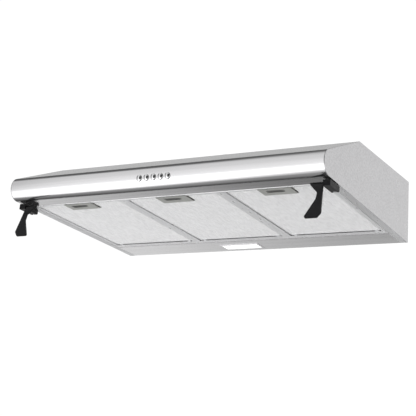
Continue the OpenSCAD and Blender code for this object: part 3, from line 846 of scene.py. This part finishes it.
def inner_parts():
    plain = {
        "tray_hinge_pins": "zinc", "latch_pivot_screws": "zinc", "switch_block": "dark",
        "lamp_housing": "enamel", "lamp_bulb": "bulb", "lamp_holder": "white",
        "motor": "motor", "motor_bracket": "zinc", "motor_shaft": "zinc",
        "damper_rod": "zinc", "terminal_box": "white", "cable_gland": "dark",
        "damper_flap_front": "damper", "damper_flap_back": "damper",
        "blower_housing": "galvanised",
        "impeller": "impeller",
    }
    duct_collar()
    for node in ("collar_screws", "blower_screws"):
        cross_screws(node)
    for node, look in plain.items():
        softened(node, LOOK[look], 0.3 * MM)
    softened("internal_cables", LOOK["sheath"], 0.4 * MM)
    for side in SIDES:
        softened(f"filter_latch_spring_{side}", LOOK["spring"], 0.1 * MM)
        softened(f"filter_latch_cup_{side}", LOOK["cup"], 0.3 * MM, split=True)


# ---------------------------------------------------------------- camera, light and floor

def camera():
    """The camera looks up at the hood from below its right front corner."""
    turn, climb, roll = math.radians(-29.436), math.radians(13.841), math.radians(3.634)
    ahead = Vector((math.sin(turn) * math.cos(climb), math.cos(turn) * math.cos(climb), math.sin(climb)))
    right = Vector((math.cos(turn), -math.sin(turn), 0))
    up = right.cross(ahead)
    right, up = (right * math.cos(roll) + up * math.sin(roll), up * math.cos(roll) - right * math.sin(roll))
    data = bpy.data.cameras.new("camera")
    data.lens = 89.93
    data.sensor_width = 36
    data.clip_start, data.clip_end = 0.05, 60
    ob = bpy.data.objects.new("camera", data)
    turn_matrix = Matrix((right, up, -ahead)).transposed().to_4x4()
    ob.matrix_world = Matrix.Translation((1.108466, -2.072684, -0.659777)) @ turn_matrix
    bpy.context.scene.collection.objects.link(ob)
    bpy.context.scene.camera = ob


def ramp_node(tree, stops):
    """A colour ramp of greys from (place, grey) pairs."""
    ramp = tree.nodes.new("ShaderNodeValToRGB")
    elements = ramp.color_ramp.elements
    while len(elements) > 1:
        elements.remove(elements[-1])
    for i, (place, grey) in enumerate(stops):
        element = elements[0] if i == 0 else elements.new(place)
        element.position = place
        element.color = (grey, grey, grey, 1)
    return ramp


# Light by elevation in degrees, in front of the hood, behind it and on its right
FRONT_STOPS = [(-90, 0.34), (-72, 0.34), (-66, 0.4), (-58, 0.8), (-48, 1.0), (-22, 1.0), (-14, 0.7),
               (0, 0.56), (36, 0.44), (58, 0.42), (70, 0.34), (90, 0.3)]
BACK_STOPS = [(-90, 0.34), (-74, 0.3), (-63, 0.2), (-58, 0.2), (-46, 0.12), (-36, 0.06), (-22, 0.04),
              (-20.6, 0.12), (-18.6, 0.4), (-17, 0.44), (-10, 0.44), (6, 0.36), (16, 0.33), (20, 0.28),
              (27, 0.28), (30.5, 0.06), (58, 0.07), (66, 0.16), (74, 0.24), (90, 0.3)]
RIGHT_STOPS = [(-90, 0.34), (-40, 0.3), (-10, 0.4), (14, 0.4), (40, 0.3), (90, 0.3)]
# How much of that light comes from each side, by the sine of the angle to the right
FRONT_SIDES = [(-1, 0.6), (-0.84, 0.5), (-0.75, 0.24), (-0.7, 0.24), (-0.64, 0.75), (-0.6, 1.0),
               (-0.29, 0.94), (-0.15, 0.68), (1, 0.6)]
# The dark gap in the front wall, which the buttons mirror: its sides and its heights
GAP_SIDES = [(-1, 1.0), (-0.29, 1.0), (-0.22, 0.36), (-0.15, 0.05), (0.4, 0.05), (0.55, 0.7), (0.65, 1.0)]
GAP_STOPS = [(-90, 0.0), (-30, 0.0), (-16, 1.0), (42, 1.0), (56, 0.0)]
# The wall behind, above and below the level where its lower band starts
BACK_SIDES = [(-1, 0.2), (-0.76, 0.3), (-0.69, 0.96), (-0.2, 0.98), (1, 1.0)]
LOW_SIDES = [(-1, 0.3), (-0.7, 0.7), (-0.62, 0.98), (-0.52, 0.98), (-0.42, 0.78), (-0.33, 0.72), (-0.2, 0.7),
             (1, 0.7)]
STUDIO_GAIN = 2.0
WHITE = 1.05
FLOOR_Z = -4.0
FLOOR_REACH = 30


def studio():
    """Studio light that the metal mirrors: a bright wall in front with a dark gap on its right,
    a grey wall behind with dark bands above and below it, and an even grey on the right. The
    camera sees plain white beyond the object."""
    world = bpy.data.worlds.new("studio")
    bpy.context.scene.world = world
    world.use_nodes = True
    tree = world.node_tree
    tree.nodes.clear()
    place = tree.nodes.new("ShaderNodeTexCoord")
    parts = tree.nodes.new("ShaderNodeSeparateXYZ")
    tree.links.new(place.outputs["Generated"], parts.inputs["Vector"])

    def mapped(out, low, high, to_low, to_high):
        node = tree.nodes.new("ShaderNodeMapRange")
        for key, value in (("From Min", low), ("From Max", high), ("To Min", to_low), ("To Max", to_high)):
            node.inputs[key].default_value = value
        tree.links.new(out, node.inputs["Value"])
        return node.outputs["Result"]

    def greys(stops, place_out, gain=1.0):
        ramp = ramp_node(tree, [(place, grey * gain) for place, grey in stops])
        tree.links.new(place_out, ramp.inputs["Fac"])
        return ramp.outputs["Color"]

    def mixed(factor, a, b, blend="MIX"):
        node = tree.nodes.new("ShaderNodeMix")
        node.data_type = "RGBA"
        node.blend_type = blend
        if isinstance(factor, float):
            node.inputs["Factor"].default_value = factor
        else:
            tree.links.new(factor, node.inputs["Factor"])
        tree.links.new(a, node.inputs["A"])
        tree.links.new(b, node.inputs["B"])
        return node.outputs["Result"]

    def by_height(stops):
        return [((math.sin(math.radians(degrees)) + 1) / 2, grey) for degrees, grey in stops]

    def by_side(stops):
        return [((right + 1) / 2, grey) for right, grey in stops]

    height = mapped(parts.outputs["Z"], -1, 1, 0, 1)
    right = mapped(parts.outputs["X"], -1, 1, 0, 1)
    low_share = mapped(parts.outputs["Z"], -0.27, -0.12, 1, 0)
    back_sides = mixed(low_share, greys(by_side(BACK_SIDES), right, 0.5),
                       greys(by_side(LOW_SIDES), right, 0.5))
    front_light = mixed(1.0, greys(by_height(FRONT_STOPS), height), greys(by_side(FRONT_SIDES), right, 0.5),
                        "MULTIPLY")
    front_light = mixed(greys(by_height(GAP_STOPS), height), front_light, greys(by_side(GAP_SIDES), right),
                        "MULTIPLY")
    back_light = mixed(1.0, greys(by_height(BACK_STOPS), height), back_sides, "MULTIPLY")
    back_light = mixed(mapped(parts.outputs["X"], -0.3, -0.2, 0, 1), back_light,
                       greys(by_height(RIGHT_STOPS), height, 0.5))
    whole = mixed(mapped(parts.outputs["Y"], -0.12, 0.12, 0, 1), front_light, back_light)
    light = tree.nodes.new("ShaderNodeBackground")
    light.inputs["Strength"].default_value = 2 * STUDIO_GAIN
    tree.links.new(whole, light.inputs["Color"])
    plain = tree.nodes.new("ShaderNodeBackground")
    plain.inputs["Color"].default_value = (1, 1, 1, 1)
    plain.inputs["Strength"].default_value = WHITE
    path = tree.nodes.new("ShaderNodeLightPath")
    choose = tree.nodes.new("ShaderNodeMixShader")
    tree.links.new(path.outputs["Is Camera Ray"], choose.inputs["Fac"])
    tree.links.new(light.outputs["Background"], choose.inputs[1])
    tree.links.new(plain.outputs["Background"], choose.inputs[2])
    out = tree.nodes.new("ShaderNodeOutputWorld")
    tree.links.new(choose.outputs["Shader"], out.inputs["Surface"])


def lamp_object(name, data, place, target):
    """A light at a place, turned to a target; polished metal doesn't mirror it."""
    ob = bpy.data.objects.new(name, data)
    place = Vector(place)
    ob.matrix_world = (Matrix.Translation(place)
                       @ (place - Vector(target)).to_track_quat("Z", "Y").to_matrix().to_4x4())
    ob.visible_camera = False
    ob.visible_glossy = False
    bpy.context.scene.collection.objects.link(ob)


def lights():
    """Soft light from above for the pale floor, and a weak one low on the left for the mats."""
    above = bpy.data.lights.new("above", "SUN")
    above.energy = 2.2
    above.angle = math.radians(40)
    lamp_object("above", above, (-1.2, -1.6, 4), (0, 0, 0))
    fill = bpy.data.lights.new("fill", "AREA")
    fill.shape = "RECTANGLE"
    fill.size, fill.size_y = 1.5, 1.2
    fill.energy = 5
    lamp_object("fill", fill, (-0.75, -0.35, -1.2), (0, 0, 0))


def floor():
    """A plain pale floor well below the hood, which hangs as it does under a cabinet."""
    bm = bmesh.new()
    bmesh.ops.create_grid(bm, x_segments=24, y_segments=24, size=FLOOR_REACH)
    mesh = bpy.data.meshes.new("floor")
    bm.to_mesh(mesh)
    bm.free()
    ob = bpy.data.objects.new("floor", mesh)
    ob.location = (0, 0, FLOOR_Z)
    finish = Finish("floor_paint", (0.8, 0.8, 0.8), 0.0, 0.7)
    mesh.materials.append(finish.tint(finish.noise(1.5, 3), 0.01).material)
    bpy.context.scene.collection.objects.link(ob)
    ob.visible_glossy = False


def stage():
    bpy.context.scene.view_settings.view_transform = "Standard"
    camera()
    studio()
    lights()
    floor()


# ---------------------------------------------------------------- build

canopy()
for panel_side in ("left", "right"):
    side_panel(panel_side)
    side_rail(panel_side)
back_panel()
rear_panel()
tray()
for filter_side in SIDES:
    filter_frame(filter_side)
    filter_mesh(filter_side)
    latch_plate(filter_side)
corner_latches()
for button_name in BUTTONS:
    button(button_name)
lamp()
inner_parts()
stage()
